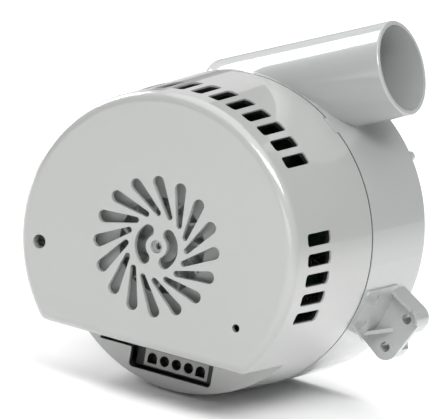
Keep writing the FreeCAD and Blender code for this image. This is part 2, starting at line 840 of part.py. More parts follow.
def fan_housing():
    body = new_body("fan_housing")
    drum = revolve(body, "drum", [(0, s.seam_end), (s.housing_radius, s.seam_end),
                                  (s.housing_radius, s.total_length), (0, s.total_length)])

    def end_edge(edge):
        return edge.BoundBox.YMin > s.total_length.value - 0.01 and edge.BoundBox.XLength > 100

    round_edges(body, "drum_round", drum, s.housing_round, end_edge)
    ear_pad(body, 1, "right")
    ear_pad(body, -1, "left")
    beyond = s.pad_radius + s.tube_radius
    revolve(body, "pad_skin", [(s.pad_radius, s.seam_end), (beyond, s.seam_end),
                               (beyond, s.total_length), (s.pad_radius, s.total_length)], cutting=True)
    tube = tube_form("discharge_tube", size(0), s.tube_reach, s.tube_straight,
                     [(min, s.tube_round), (max, s.tube_lip_round)])
    join = body.newObject("PartDesign::Boolean", "drum_and_tube")
    join.setObjects([tube])
    join.Type = "Fuse"
    ear(body, 1, "right_ear")
    ear(body, -1, "left_ear")
    subtract(body, "housing_cavity", housing_hollow())
    inner = s.housing_radius - s.housing_wall
    revolve(body, "ledge", [(s.ledge_radius, s.post_start), (inner + 0.5, s.post_start),
                            (inner + 0.5, s.post_start + s.ledge_thickness),
                            (s.ledge_radius, s.post_start + s.ledge_thickness)])
    posts = across(body, "post_sketch", s.post_start)
    bores = across(body, "post_bore_sketch", s.post_start - 1)
    for angle in POST_ANGLES:
        ring(posts, *polar(s.post_circle, angle), s.post_radius)
        ring(bores, *polar(s.post_circle, angle), s.post_bore)
    extrude(body, "posts", posts, s.cup_start - s.post_start)
    extrude(body, "post_bores", bores, s.post_bore_depth + 1, cutting=True)
    inlet = ring(across(body, "inlet_sketch", s.cup_end - 1), 0, 0, s.inlet_radius)
    extrude(body, "inlet", inlet, s.housing_end_wall + 2, cutting=True)
    groove = across(body, "groove_sketch", s.total_length - s.groove_depth)
    ring(groove, 0, 0, s.groove_outer)
    ring(groove, 0, 0, s.groove_inner)
    extrude(body, "seal_groove", groove, s.groove_depth + 1, cutting=True)
    foot_start = s.total_length - s.housing_end_wall + 0.2
    feet = across(body, "foot_sketch", foot_start)
    for angle in (-53, 37, 127, 217):
        ring(feet, *polar(s.foot_circle, angle), s.foot_radius)
    extrude(body, "feet", feet, s.total_length + s.foot_height - foot_start)
    for number, angle in enumerate(TAB_ANGLES):
        path = slab_path(angle, s.housing_radius - s.housing_wall + s.rim_tab_inset,
                         s.housing_radius - s.rim_tab_inset, s.rim_tab_half_width)
        tab = outline(across(body, f"rim_tab_sketch_{number}", s.rim_tab_start), path)
        extrude(body, f"rim_tab_{number}", tab, s.seam_end + 1 - s.rim_tab_start)
    return keep(body, "fan_housing")


# ---- motor plate, bracket and stator ---------------------------------------------------------------

def quarter_points(circle):
    """Four points on a circle, half way between X and Z."""
    return [polar(circle, 45 + 90 * i) for i in range(4)]


def motor_plate():
    """The plate between motor and fans, with the hub that holds the rear bearing."""
    body = new_body("motor_plate")
    plate_end = s.plate_start + s.plate_thickness
    revolve(body, "plate", [
        (s.plate_bore, s.plate_start), (s.plate_radius, s.plate_start), (s.plate_radius, plate_end),
        (s.plate_hub_radius + 3, plate_end), (s.plate_hub_radius, plate_end + 3),
        (s.plate_hub_radius, s.plate_hub_end), (s.bearing_radius, s.plate_hub_end),
        (s.bearing_radius, s.rear_bearing), (s.plate_bore, s.rear_bearing)])
    posts = across(body, "plate_post_sketch", s.core_end)
    taps = across(body, "plate_tap_sketch", s.core_end - 1)
    for point in quarter_points(s.bolt_circle):
        ring(posts, *point, s.bolt_post_radius)
        ring(taps, *point, s.bolt_radius)
    extrude(body, "motor_posts", posts, s.plate_start - s.core_end + 1)
    extrude(body, "motor_taps", taps, s.bolt_tap_depth + 1, cutting=True)
    board_end = s.board_start + s.board_thickness
    pillars = across(body, "pillar_sketch", board_end)
    pillar_taps = across(body, "pillar_tap_sketch", board_end - 1)
    for angle in BOARD_ANGLES:
        ring(pillars, *polar(s.board_post_circle, angle), s.board_post_radius)
        ring(pillar_taps, *polar(s.board_post_circle, angle), s.small_screw_radius)
    extrude(body, "board_pillars", pillars, s.plate_start - board_end + 1)
    extrude(body, "board_taps", pillar_taps, s.board_tap_depth + 1, cutting=True)
    clear = across(body, "clear_hole_sketch", s.plate_start - 1)
    for angle in POST_ANGLES:
        ring(clear, *polar(s.post_circle, angle), s.bolt_radius)
    extrude(body, "clear_holes", clear, s.plate_thickness + 2, cutting=True)
    return keep(body, "motor_plate")


def front_bracket():
    body = new_body("front_bracket")
    revolve(body, "bracket", [
        (s.bearing_radius, s.bracket_end - 1), (s.bracket_lip_bore, s.bracket_end - 1),
        (s.bracket_lip_bore, s.bracket_end), (s.bracket_radius, s.bracket_end),
        (s.bracket_radius, s.bracket_web_start), (s.bracket_hub_radius + 2, s.bracket_web_start),
        (s.bracket_hub_radius, s.bracket_web_start - 2), (s.bracket_hub_radius, s.bracket_start),
        (s.bearing_radius, s.bracket_start)])
    feet = across(body, "bracket_foot_sketch", s.bracket_end)
    bores = across(body, "bracket_bore_sketch", s.bracket_start)
    for point in quarter_points(s.bolt_circle):
        ring(feet, *point, s.bolt_post_radius)
        ring(bores, *point, s.bolt_radius)
    extrude(body, "bracket_feet", feet, s.core_start - s.bracket_end)
    extrude(body, "bracket_bores", bores, s.core_start - s.bracket_start + 1, cutting=True)
    hole = across(body, "bracket_vent_sketch", s.bracket_start)
    ring(hole, s.bracket_vent_circle, 0, s.bracket_vent_radius)
    vent = extrude(body, "bracket_vent", hole, s.bracket_end - s.bracket_start + 1, cutting=True)
    repeat(body, "bracket_vents", vent, 8)
    return keep(body, "front_bracket")


def stator_core():
    body = new_body("stator_core")
    length = s.core_end - s.core_start
    yoke = across(body, "yoke_sketch", s.core_start)
    ring(yoke, 0, 0, s.core_radius)
    ring(yoke, 0, 0, s.core_yoke)
    extrude(body, "yoke", yoke, length)
    half = s.tooth_half_width
    low, high = 90 - s.shoe_angle, 90 + s.shoe_angle
    shoe = s.shoe_outer
    bore = s.stator_bore
    tooth = outline(across(body, "tooth_sketch", s.core_start), [
        (half, s.core_yoke + 1), (-half, s.core_yoke + 1), (-half, shoe), polar(shoe, high),
        polar(bore, high), (*polar(bore, low), bore, -1), polar(shoe, low), (half, shoe)])
    feature = extrude(body, "tooth", tooth, length)
    repeat(body, "teeth", feature, s.tooth_count)
    bolts = across(body, "core_bolt_sketch", s.core_start - 1)
    for point in quarter_points(s.bolt_circle):
        ring(bolts, *point, s.bolt_radius)
    extrude(body, "core_bolt_holes", bolts, length + 2, cutting=True)
    return keep(body, "stator_core")


def stator_coils():
    """One coil round each tooth."""
    body = new_body("stator_coils")
    half = s.tooth_half_width
    outer = half + s.coil_thickness
    sketch = sketch_on(body, "coil_sketch", "XY_Plane", offset=s.coil_inner)
    outline(sketch, box_path(-outer, outer, s.core_start - s.coil_thickness,
                             s.core_end + s.coil_thickness, s.coil_round))
    outline(sketch, [(-half, s.core_start), (half, s.core_start), (half, s.core_end), (-half, s.core_end)])
    coil = body.newObject("PartDesign::Pad", "coil")
    coil.Profile = sketch
    bind(coil, Length=s.coil_depth)
    repeat(body, "coils", coil, s.tooth_count)
    return keep(body, "stator_coils")


# ---- bearings --------------------------------------------------------------------------------------

def bearing(place, start):
    """A deep-groove ball bearing in five pieces: two rings, balls, cage and shields."""
    middle = start + s.bearing_width / 2
    end = start + s.bearing_width
    groove = doc.addObject("Part::Torus", place + "_groove")
    groove.Placement = FreeCAD.Placement(FreeCAD.Vector(), ALONG_SHAFT)
    bind(groove, Radius1=s.ball_circle, Radius2=s.ball_groove)
    put(groove, 0, middle, 0)
    inner = tube(place + "_inner_blank", s.inner_ring_radius, s.shaft_radius, start, end)
    outer = tube(place + "_outer_blank", s.bearing_radius, s.outer_ring_bore, start, end)
    keep(cut(place + "_inner_ring", inner, groove), place + "_bearing_inner_ring")
    keep(cut(place + "_outer_ring", outer, groove), place + "_bearing_outer_ring")
    balls = []
    pockets = []
    for i in range(SIZES["ball_count"]):
        angle = i * 360 / SIZES["ball_count"]
        sphere = doc.addObject("Part::Sphere", f"{place}_ball_{i}")
        bind(sphere, Radius=s.ball_radius)
        x, z = polar(s.ball_circle, angle)
        balls.append(put(sphere, x, middle, z))
        pocket = doc.addObject("Part::Cylinder", f"{place}_pocket_{i}")
        outwards = FreeCAD.Vector(math.cos(math.radians(angle)), 0, math.sin(math.radians(angle)))
        pocket.Placement.Rotation = FreeCAD.Rotation(FreeCAD.Vector(0, 0, 1), outwards)
        bind(pocket, Radius=s.ball_groove, Height=s.cage_outer)
        x, z = polar(s.cage_inner * 0.8, angle)
        pockets.append(put(pocket, x, middle, z))
    keep(group(place + "_balls", balls), place + "_bearing_balls")
    half = s.cage_width / 2
    blank = tube(place + "_cage_blank", s.cage_outer, s.cage_inner, middle - half, middle + half)
    keep(cut(place + "_cage", blank, *pockets), place + "_bearing_cage")
    near = start + s.shield_inset
    far = end - s.shield_inset
    pair = [
        tube(place + "_near_shield", s.outer_ring_bore, s.shield_bore, near, near + s.shield_thickness),
        tube(place + "_far_shield", s.outer_ring_bore, s.shield_bore, far - s.shield_thickness, far),
    ]
    keep(group(place + "_shields", pair), place + "_bearing_shields")


# ---- rotor -----------------------------------------------------------------------------------------

def shaft():
    radius, middle, edge = s.shaft_radius, s.shaft_middle_radius, s.shaft_chamfer
    front = s.front_bearing + s.bearing_width
    turned("shaft", [
        (0, s.shaft_start), (radius - edge, s.shaft_start), (radius, s.shaft_start + edge),
        (radius, front), (middle, front), (middle, s.rear_bearing), (radius, s.rear_bearing),
        (radius, s.shaft_end - edge), (radius - edge, s.shaft_end), (0, s.shaft_end)])


def rotor():
    shaft()
    keep(tube("rotor_core_solid", s.rotor_core_radius, s.shaft_middle_radius, s.core_start, s.core_end),
         "rotor_core")
    body = new_body("rotor_magnets")
    inner, outer, half = s.rotor_core_radius, s.magnet_radius, s.magnet_angle
    sketch = outline(across(body, "magnet_sketch", s.magnet_start), [
        polar(outer, 90 - half), (*polar(outer, 90 + half), outer, 1),
        polar(inner, 90 + half), (*polar(inner, 90 - half), inner, -1)])
    magnet = extrude(body, "magnet", sketch, s.magnet_length)
    repeat(body, "magnets", magnet, 4)
    keep(body, "rotor_magnets")


def blade_path(inner, outer, side, thickness):
    """A blade of even thickness along an arc, which leans back one way (side 1) or the other (-1)."""
    reach = outer * 0.9
    near = size(outer)
    far = near + thickness

    def turn(radius):
        cosine_there = (radius ** 2 - reach.value ** 2 - near.value ** 2) / (2 * reach.value * near.value)
        return 90 + side * math.degrees(math.acos(cosine_there))

    def stop(bend, angle):
        x, z = polar(bend, angle)
        return x, reach + z

    first, last = turn(inner.value), turn(outer.value * 0.985)
    return [stop(near, first), (*stop(near, last), near, -side),
            stop(far, last), (*stop(far, first), far, side)]


def wheel(name, start, end, radius, hub_radius, hub_start, hub_end, eye, count, back_first=True):
    """A closed centrifugal wheel: a back disc with a hub, curved blades and a front shroud."""
    body = new_body(name)
    disc = s.disc_thickness
    shroud = s.disc_thickness - 0.3
    if back_first:
        back, blades_start, front = start, start + disc, end - shroud
        back_end = start + disc
    else:
        back, blades_start, front = end - disc, start + shroud, start
        back_end = end
    near, far = size(hub_start), size(hub_end)
    profile = [(s.shaft_radius, near), (hub_radius, near), (hub_radius, far), (s.shaft_radius, far)]
    revolve(body, name + "_hub", profile)
    revolve(body, name + "_back", [(hub_radius - 1, back), (radius, back), (radius, back_end),
                                   (hub_radius - 1, back_end)])
    inner = eye * 0.62
    sketch = across(body, name + "_blade_sketch", blades_start - 0.2)
    outline(sketch, blade_path(inner, radius, 1, s.blade_thickness))
    blade = extrude(body, name + "_blade", sketch, end - start - disc - shroud + 0.4)
    repeat(body, name + "_blades", blade, count)
    revolve(body, name + "_shroud", [(eye, front), (radius, front), (radius, front + shroud),
                                     (eye, front + shroud)])
    return keep(body, name)


def fans():
    wheel("cooling_fan", s.cooling_start, s.cooling_end, s.cooling_radius, s.cooling_hub_radius,
          s.cooling_start + 1, s.cooling_end, s.cooling_shroud_bore, s.cooling_blades, back_first=False)
    wheel("second_impeller", s.late_start, s.late_end, s.impeller_radius, s.impeller_hub_radius,
          s.late_start - 1, s.late_hub_end, s.impeller_eye, s.impeller_blades)
    wheel("first_impeller", s.early_start, s.early_end, s.impeller_radius, s.impeller_hub_radius,
          s.early_hub_start, s.early_hub_end, s.impeller_eye, s.impeller_blades)
    bearing_end = s.rear_bearing + s.bearing_width
    keep(tube("rear_sleeve", s.inner_ring_radius, s.shaft_radius, bearing_end, s.late_start - 1),
         "bearing_sleeve")
    keep(tube("middle_sleeve", s.sleeve_outer, s.shaft_radius, s.late_hub_end, s.early_hub_start),
         "impeller_sleeve")
    keep(tube("clamp_washer", s.washer_radius, s.shaft_radius, s.early_hub_end, s.washer_end),
         "impeller_washer")
    blank = doc.addObject("Part::Prism", "nut_blank")
    blank.Placement = FreeCAD.Placement(FreeCAD.Vector(), ALONG_SHAFT)
    blank.Polygon = 6
    bind(blank, Circumradius=s.nut_circle, Height=s.nut_end - s.washer_end)
    put(blank, 0, s.washer_end, 0)
    bore = rod("nut_bore", s.shaft_radius, s.washer_end, s.nut_end)
    keep(cut("nut", blank, bore), "impeller_nut")


# ---- return guide between the impellers ------------------------------------------------------------

def guide():
    turned("stage_cup", [
        (s.cup_eye, s.cup_start), (s.cup_radius, s.cup_start), (s.cup_radius, s.cup_end),
        (s.cup_radius - s.cup_thickness, s.cup_end),
        (s.cup_radius - s.cup_thickness, s.cup_start + s.cup_thickness),
        (s.cup_eye, s.cup_start + s.cup_thickness)])
    body = new_body("return_guide")
    revolve(body, "guide_disc", [(s.guide_bore, s.guide_end - s.disc_thickness),
                                 (s.guide_radius, s.guide_end - s.disc_thickness),
                                 (s.guide_radius, s.guide_end), (s.guide_bore, s.guide_end)])
    sketch = across(body, "vane_sketch", s.guide_start)
    outline(sketch, blade_path(s.cup_eye + 1, s.guide_radius, -1, s.blade_thickness))
    vane = extrude(body, "vane", sketch, s.guide_end - s.guide_start - 0.5)
    repeat(body, "vanes", vane, s.guide_vanes)
    keep(body, "return_guide")


# ---- control board ---------------------------------------------------------------------------------

def control_board():
    board_end = s.board_start + s.board_thickness
    body = new_body("control_board")
    sketch = across(body, "board_sketch", s.board_start)
    ring(sketch, 0, 0, s.board_radius)
    ring(sketch, 0, 0, s.board_bore)
    for angle in BOARD_ANGLES:
        ring(sketch, *polar(s.board_post_circle, angle), s.small_screw_radius + 0.1)
    extrude(body, "board", sketch, board_end - s.board_start)
    keep(body, "control_board")
    cans = [rod(f"can_{i}", s.capacitor_radius, s.capacitor_start, s.board_start,
                *polar(s.capacitor_circle, angle)) for i, angle in enumerate((50, 68, 86))]
    keep(group("cans", cans), "capacitors")
    choke = doc.addObject("Part::Torus", "choke")
    choke.Placement = FreeCAD.Placement(FreeCAD.Vector(), ALONG_SHAFT)
    bind(choke, Radius1=s.choke_radius, Radius2=s.choke_wire_radius)
    x, z = polar(s.choke_circle, -8)
    keep(put(choke, x, s.board_start - s.choke_wire_radius, z), "choke_coil")
    chips = [radial_block(f"transistor_{i}", s.sink_first.value + 5 + s.transistor_pitch.value * i,
                          s.transistor_inner, s.transistor_outer, s.transistor_half_width,
                          s.transistor_start, s.board_start) for i in range(6)]
    keep(group("transistors", chips), "power_transistors")
    body = new_body("heat_sink")
    low, high = s.sink_first, s.sink_last
    inner, outer = s.sink_inner, s.sink_outer
    path = [polar(outer, low), (*polar(outer, high), outer, 1), polar(inner, high),
            (*polar(inner, low), inner, -1)]
    extrude(body, "sink", outline(across(body, "sink_sketch", s.sink_start), path),
            s.board_start - s.sink_start)
    keep(body, "heat_sink")


def connector():
    """A five-way board header, its insert and its pins behind the cover's window."""
    middle = s.window_middle
    half = s.header_width / 2
    low, high = -s.header_low, -s.header_high
    centre = s.insert_middle
    reach = s.insert_half_width
    inset_end = s.header_front + s.insert_depth
    shell = block("header_block", middle - half, middle + half, s.header_front, s.board_start, low, high)
    pocket = block("header_pocket", centre - reach, centre + reach, s.header_front - 1, inset_end,
                   -s.insert_low, -s.insert_high)
    core = block("insert_block", centre - reach, centre + reach, s.header_front, inset_end,
                 -s.insert_low, -s.insert_high)
    cavities = []
    ways = []
    pins = []
    cavity_end = inset_end - 2
    for i in range(5):
        x = centre + (i - 2) * s.pin_pitch
        cavities.append(rod(f"cavity_{i}", s.pin_hole_radius, s.header_front - 1, cavity_end,
                            x, -s.pin_level))
        ways.append(rod(f"way_{i}", s.pin_radius, cavity_end - 1, s.board_start, x, -s.pin_level))
        pins.append(rod(f"pin_{i}", s.pin_radius, s.pin_start, s.board_start, x, -s.pin_level))
        if i in (0, 4):
            reach_x = s.pin_hole_radius
            cavities.append(block(f"square_{i}", x - reach_x, x + reach_x, s.header_front - 1, cavity_end,
                                  -s.pin_level - reach_x, -s.pin_level))
    keep(cut("header", shell, pocket, *ways), "connector_header")
    keep(cut("insert", core, *cavities, *ways), "connector_insert")
    keep(group("pins", pins), "connector_pins")


def trim_pot():
    """The speed setting: a pot on the board with a long spindle behind a hole in the cover."""
    x, z = s.trim_x, s.trim_z
    shell = rod("pot_shell", s.pot_radius, s.pot_start, s.board_start, x, z)
    bore = rod("pot_bore", s.pot_bore, s.pot_start, s.spindle_end + 0.5, x, z)
    keep(cut("pot", shell, bore), "trim_pot")
    stem = rod("spindle_stem", s.spindle_radius, s.spindle_start, s.spindle_end, x, z)
    half = s.spindle_slot_width / 2
    slot = block("spindle_slot", x - s.spindle_radius, x + s.spindle_radius, s.spindle_start,
                 s.spindle_start + s.spindle_slot_depth, z - half, z + half)
    keep(cut("spindle", stem, slot), "trim_spindle")


# ---- screws ----------------------------------------------------------------------------------------

def screws(label, places, seat, length, radius, head_radius):
    """Socket screws whose heads stand on a seat and whose shanks go towards the inlet."""
    made = []
    for i, (x, z) in enumerate(places):
        name = f"{label}_{i}"
        head = rod(name + "_head", head_radius, seat - s.screw_head_height, seat, x, z)
        shank = rod(name + "_shank", radius - s.screw_slack, seat, seat + length, x, z)
        socket = doc.addObject("Part::Prism", name + "_socket")
        socket.Placement = FreeCAD.Placement(FreeCAD.Vector(), ALONG_SHAFT)
        socket.Polygon = 6
        bind(socket, Circumradius=head_radius * 0.5, Height=s.screw_head_height * 0.6)
        put(socket, x, seat - s.screw_head_height, z)
        made.append(cut(name, fuse(name + "_solid", head, shank), socket))
    keep(group(label + "_group", made), label)


def all_screws():
    bolts = s.core_end + s.bolt_tap_depth - s.bracket_web_start - 1
    screws("motor_screws", quarter_points(s.bolt_circle), s.bracket_web_start, bolts, s.bolt_radius,
           s.screw_head_radius)
    board_places = [polar(s.board_post_circle, angle) for angle in BOARD_ANGLES]
    screws("board_screws", board_places, s.board_start, s.board_screw_length, s.small_screw_radius,
           s.screw_head_radius * 0.8)
    plate_places = [polar(s.post_circle, angle) for angle in POST_ANGLES]
    screws("plate_screws", plate_places, s.plate_start, s.plate_screw_length, s.post_bore,
           s.screw_head_radius)


def seals():
    """The gasket between the two rims, and the flat seal behind the motor plate."""
    body = new_body("rim_gasket")
    start, end = s.seam_start + s.gasket_gap, s.seam_end - s.gasket_gap
    sketch = across(body, "gasket_sketch", start)
    ring(sketch, 0, 0, s.gasket_outer)
    ring(sketch, 0, 0, s.gasket_inner)
    extrude(body, "gasket", sketch, end - start)
    for number, angle in enumerate(TAB_ANGLES):
        gap = outline(across(body, f"gap_sketch_{number}", start - 1),
                      slab_path(angle, s.gasket_inner - 1, s.gasket_outer + 1, s.rim_tab_half_width + 0.1))
        extrude(body, f"gap_{number}", gap, end - start + 2, cutting=True)
    keep(body, "rim_gasket")
    plate_end = s.plate_start + s.plate_thickness
    body = new_body("rim_seal")
    sketch = across(body, "seal_sketch", plate_end)
    ring(sketch, 0, 0, s.plate_radius)
    ring(sketch, 0, 0, s.seal_inner)
    for angle in POST_ANGLES:
        ring(sketch, *polar(s.post_circle, angle), s.bolt_radius)
    extrude(body, "seal", sketch, s.post_start - plate_end)
    keep(body, "rim_seal")


motor_cover()
fan_housing()
motor_plate()
front_bracket()
stator_core()
stator_coils()
bearing("front", s.front_bearing)
bearing("rear", s.rear_bearing)
rotor()
fans()
guide()
control_board()
connector()
trim_pot()
all_screws()
seals()


# ---- check and write -------------------------------------------------------------------------------

def check_and_write():
    doc.recompute()
    for obj in doc.Objects:
        if "Invalid" in obj.State or "Error" in obj.State:
            raise RuntimeError(f"{obj.Label} failed: {obj.State}")
    os.makedirs("parts", exist_ok=True)
    for obj in kept:
        shape = obj.Shape
        if shape.isNull() or not shape.isValid() or not shape.Solids:
            raise RuntimeError(f"{obj.Label} has no valid shape")
        shape.exportStep(f"parts/{obj.Label}.step")
        print(f"{obj.Label}: {len(shape.Solids)} solids, {shape.Volume:.0f} mm3")


check_and_write()
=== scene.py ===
import bpy
import bmesh
import json
import math
from mathutils import Euler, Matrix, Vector


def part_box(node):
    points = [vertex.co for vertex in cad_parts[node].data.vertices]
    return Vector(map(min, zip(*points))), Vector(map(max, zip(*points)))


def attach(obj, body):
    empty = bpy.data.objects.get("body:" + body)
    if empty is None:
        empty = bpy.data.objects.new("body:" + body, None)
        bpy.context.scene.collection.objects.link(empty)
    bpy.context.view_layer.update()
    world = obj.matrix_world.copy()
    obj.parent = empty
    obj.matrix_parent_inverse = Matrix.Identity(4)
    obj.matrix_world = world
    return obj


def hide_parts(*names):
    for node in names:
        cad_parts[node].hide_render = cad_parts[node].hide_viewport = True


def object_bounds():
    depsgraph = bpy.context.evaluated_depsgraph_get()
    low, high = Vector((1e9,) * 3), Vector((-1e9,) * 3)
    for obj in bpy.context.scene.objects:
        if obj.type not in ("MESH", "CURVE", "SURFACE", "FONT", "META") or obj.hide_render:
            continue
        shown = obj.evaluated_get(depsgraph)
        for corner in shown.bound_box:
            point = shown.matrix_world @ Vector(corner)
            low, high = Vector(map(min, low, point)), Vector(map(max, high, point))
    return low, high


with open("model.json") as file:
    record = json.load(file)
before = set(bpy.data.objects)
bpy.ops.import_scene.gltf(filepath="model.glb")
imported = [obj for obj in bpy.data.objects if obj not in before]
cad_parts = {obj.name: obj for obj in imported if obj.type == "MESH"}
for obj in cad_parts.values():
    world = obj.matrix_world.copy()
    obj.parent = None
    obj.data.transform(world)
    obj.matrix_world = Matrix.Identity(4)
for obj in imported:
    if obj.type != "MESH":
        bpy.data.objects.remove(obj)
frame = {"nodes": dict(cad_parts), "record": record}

# The object is a motor blower in light grey plastic. The shaft lies along Y and the front faces -Y.

MM = 0.001
CAD_BOX = [list(corner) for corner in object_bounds()]

COVER_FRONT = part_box("motor_cover")[0][1]
COVER_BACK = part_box("motor_cover")[1][1]
COVER_FRONT_RADIUS = 71.2 * MM
COVER_BACK_RADIUS = 73.6 * MM
INSERT_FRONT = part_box("connector_insert")[0][1]

# painted shade: where the inside of the cover is painted black, standing in for the shade behind
# its vents, and how softly
PAINTED_SHADE_BLACK = (0.012, 0.012, 0.013)
SKIN_DEPTH = 0.8 * MM
FRONT_WALL = 8.0 * MM
FLAT_HEIGHT = -45.2 * MM
STEP_DEPTH = 38.6 * MM
PAINTED_SHADE_FADE = 0.2 * MM
CAVITY_DEPTH = 0.4 * MM
CAVITY_FADE = 0.4 * MM


# ---- materials ---------------------------------------------------------------------------------

# Every pattern is built from object coordinates, so its grain has a real size in metres. per_metre
# is a texture's scale, so a larger number gives a finer grain.

BEVEL_SAMPLES = 6
COAT_ROUGHNESS = 0.05
COAT_IOR = 1.6
PLASTIC_IOR = 1.5
TOOL_MARKS_PER_METRE = 2600
TARNISH = 0.08
WAVE_UNIT = 20      # a Wave texture of scale 1 goes through this many radians in a metre


class Shader:
    """A node tree with a Principled shader, and short names for the nodes that the looks need."""

    def __init__(self, name):
        self.material = bpy.data.materials.new(name)
        self.material.use_nodes = True
        self.tree = self.material.node_tree
        self.tree.nodes.clear()
        self.surface = self.node("ShaderNodeBsdfPrincipled")
        output = self.node("ShaderNodeOutputMaterial")
        self.link(self.surface.outputs["BSDF"], output.inputs["Surface"])
        self.place = self.node("ShaderNodeTexCoord").outputs["Object"]

    def node(self, kind, **settings):
        made = self.tree.nodes.new(kind)
        for name, value in settings.items():
            setattr(made, name, value)
        return made

    def link(self, start, end):
        self.tree.links.new(start, end)

    def set(self, name, value):
        self.surface.inputs[name].default_value = value

    def stretched(self, scale):
        """Object coordinates multiplied by scale, one factor for each axis."""
        mapping = self.node("ShaderNodeMapping")
        mapping.inputs["Scale"].default_value = scale
        self.link(self.place, mapping.inputs["Vector"])
        return mapping.outputs["Vector"]

    def noise(self, per_metre, detail, roughness=0.55, place=None):
        made = self.node("ShaderNodeTexNoise")
        made.inputs["Scale"].default_value = per_metre
        made.inputs["Detail"].default_value = detail
        made.inputs["Roughness"].default_value = roughness
        self.link(place or self.place, made.inputs["Vector"])
        return made.outputs["Fac"]

    def spots(self, per_metre):
        made = self.node("ShaderNodeTexVoronoi")
        made.inputs["Scale"].default_value = per_metre
        self.link(self.place, made.inputs["Vector"])
        return made.outputs["Distance"]

    def fit(self, value, low, high, start=0.0, end=1.0):
        """Spread a value between low and high from start to end, and hold it there beyond them."""
        made = self.node("ShaderNodeMapRange")
        for name, number in (("From Min", low), ("From Max", high),
                             ("To Min", start), ("To Max", end)):
            made.inputs[name].default_value = number
        self.link(value, made.inputs["Value"])
        return made.outputs["Result"]

    def blend(self, amount, first, second):
        """A mix of two colours, each a colour or a socket."""
        made = self.node("ShaderNodeMix", data_type="RGBA")
        self.link(amount, made.inputs["Factor"])
        for name, value in (("A", first), ("B", second)):
            socket = [item for item in made.inputs if item.name == name and item.type == "RGBA"][0]
            if isinstance(value, bpy.types.NodeSocket):
                self.link(value, socket)
            else:
                socket.default_value = (*value, 1.0)
        return [item for item in made.outputs if item.type == "RGBA"][0]

    def maths(self, operation, first, second=0.0):
        """One arithmetic step between sockets and numbers."""
        made = self.node("ShaderNodeMath", operation=operation)
        for socket, value in zip(made.inputs, (first, second)):
            if isinstance(value, bpy.types.NodeSocket):
                self.link(value, socket)
            else:
                socket.default_value = value
        return made.outputs[0]

    def along(self, axis):
        """The object coordinate along an axis."""
        parts = self.node("ShaderNodeSeparateXYZ")
        self.link(self.place, parts.inputs["Vector"])
        return parts.outputs[axis]

    def from_shaft(self):
        """How far each point is from the shaft's line."""
        across = self.node("ShaderNodeVectorMath", operation="MULTIPLY")
        across.inputs[1].default_value = (1, 0, 1)
        self.link(self.place, across.inputs[0])
        reach = self.node("ShaderNodeVectorMath", operation="LENGTH")
        self.link(across.outputs["Vector"], reach.inputs[0])
        return reach.outputs["Value"]

    def soften_edges(self, radius):
        """Shade sharp edges as if they had this radius."""
        made = self.node("ShaderNodeBevel", samples=BEVEL_SAMPLES)
        made.inputs["Radius"].default_value = radius
        self.link(made.outputs["Normal"], self.surface.inputs["Normal"])

    def bump(self, height, depth, strength=1.0):
        """Raise the surface by a height map, depth metres from 0 to 1, over any relief it has."""
        made = self.node("ShaderNodeBump")
        made.inputs["Distance"].default_value = depth
        made.inputs["Strength"].default_value = strength
        self.link(height, made.inputs["Height"])
        if self.surface.inputs["Normal"].is_linked:
            self.link(self.surface.inputs["Normal"].links[0].from_socket, made.inputs["Normal"])
        self.link(made.outputs["Normal"], self.surface.inputs["Normal"])

    def colour(self, socket):
        self.link(socket, self.surface.inputs["Base Color"])

    def roughness(self, socket):
        self.link(socket, self.surface.inputs["Roughness"])


def scaled(colour, amount):
    return tuple(channel * amount for channel in colour)


def moulded_plastic(name, colour, rough, grain_depth, coat=0.0, mottle=0.04, painted_shade=None, edge=0.0):
    """Injection-moulded plastic: faint flow mottling and a fine orange peel, under a gloss coat.

    The painted shade argument is a function that gives where the plastic is painted black as shade,
    from 0 to 1, and edge is the radius that its sharp edges are shaded with.
    """
    look = Shader(name)
    if edge:
        look.soften_edges(edge)
    flow = look.fit(look.noise(22, 4), 0.3, 0.7)
    fine = look.fit(look.noise(900, 2), 0.35, 0.65)
    tint = look.blend(flow, scaled(colour, 1 - mottle), scaled(colour, 1 + mottle))
    skin = look.blend(fine, tint, scaled(colour, 1.01))
    # painted shade: black is blended into the colour where the mask gives 1
    look.colour(look.blend(painted_shade(look), skin, PAINTED_SHADE_BLACK) if painted_shade else skin)
    look.roughness(look.fit(look.noise(140, 4), 0.3, 0.7, rough * 0.94, rough * 1.08))
    look.bump(look.noise(2600, 2), grain_depth, 0.35)
    look.set("Coat Weight", coat)
    look.set("Coat Roughness", COAT_ROUGHNESS)
    look.set("Coat IOR", COAT_IOR)
    look.set("IOR", PLASTIC_IOR)
    return look.material


def cover_painted_shade(look):
    """Painted shade: 1 inside the cover, both behind its front wall above the flat and behind its
    step, where the plastic is painted black as shade, else 0.
    """
    along = look.along("Y")
    skin = look.fit(along, COVER_FRONT, COVER_BACK, COVER_FRONT_RADIUS, COVER_BACK_RADIUS)
    depth = look.maths("SUBTRACT", skin, look.from_shaft())
    under_skin = look.fit(depth, SKIN_DEPTH, SKIN_DEPTH + PAINTED_SHADE_FADE)
    front, step = COVER_FRONT + FRONT_WALL, COVER_FRONT + STEP_DEPTH
    behind_front = look.fit(along, front, front + PAINTED_SHADE_FADE)
    above_flat = look.fit(look.along("Z"), FLAT_HEIGHT, FLAT_HEIGHT + PAINTED_SHADE_FADE)
    behind_step = look.fit(along, step, step + PAINTED_SHADE_FADE)
    inside = look.maths("MAXIMUM", look.maths("MULTIPLY", behind_front, above_flat), behind_step)
    return look.maths("MULTIPLY", under_skin, inside)


def cavity_painted_shade(look):
    """Painted shade: 1 in the five cavities of the connector, behind its front face, which are
    painted black as shade, else 0.
    """
    start = INSERT_FRONT + CAVITY_DEPTH
    return look.fit(look.along("Y"), start, start + CAVITY_FADE)


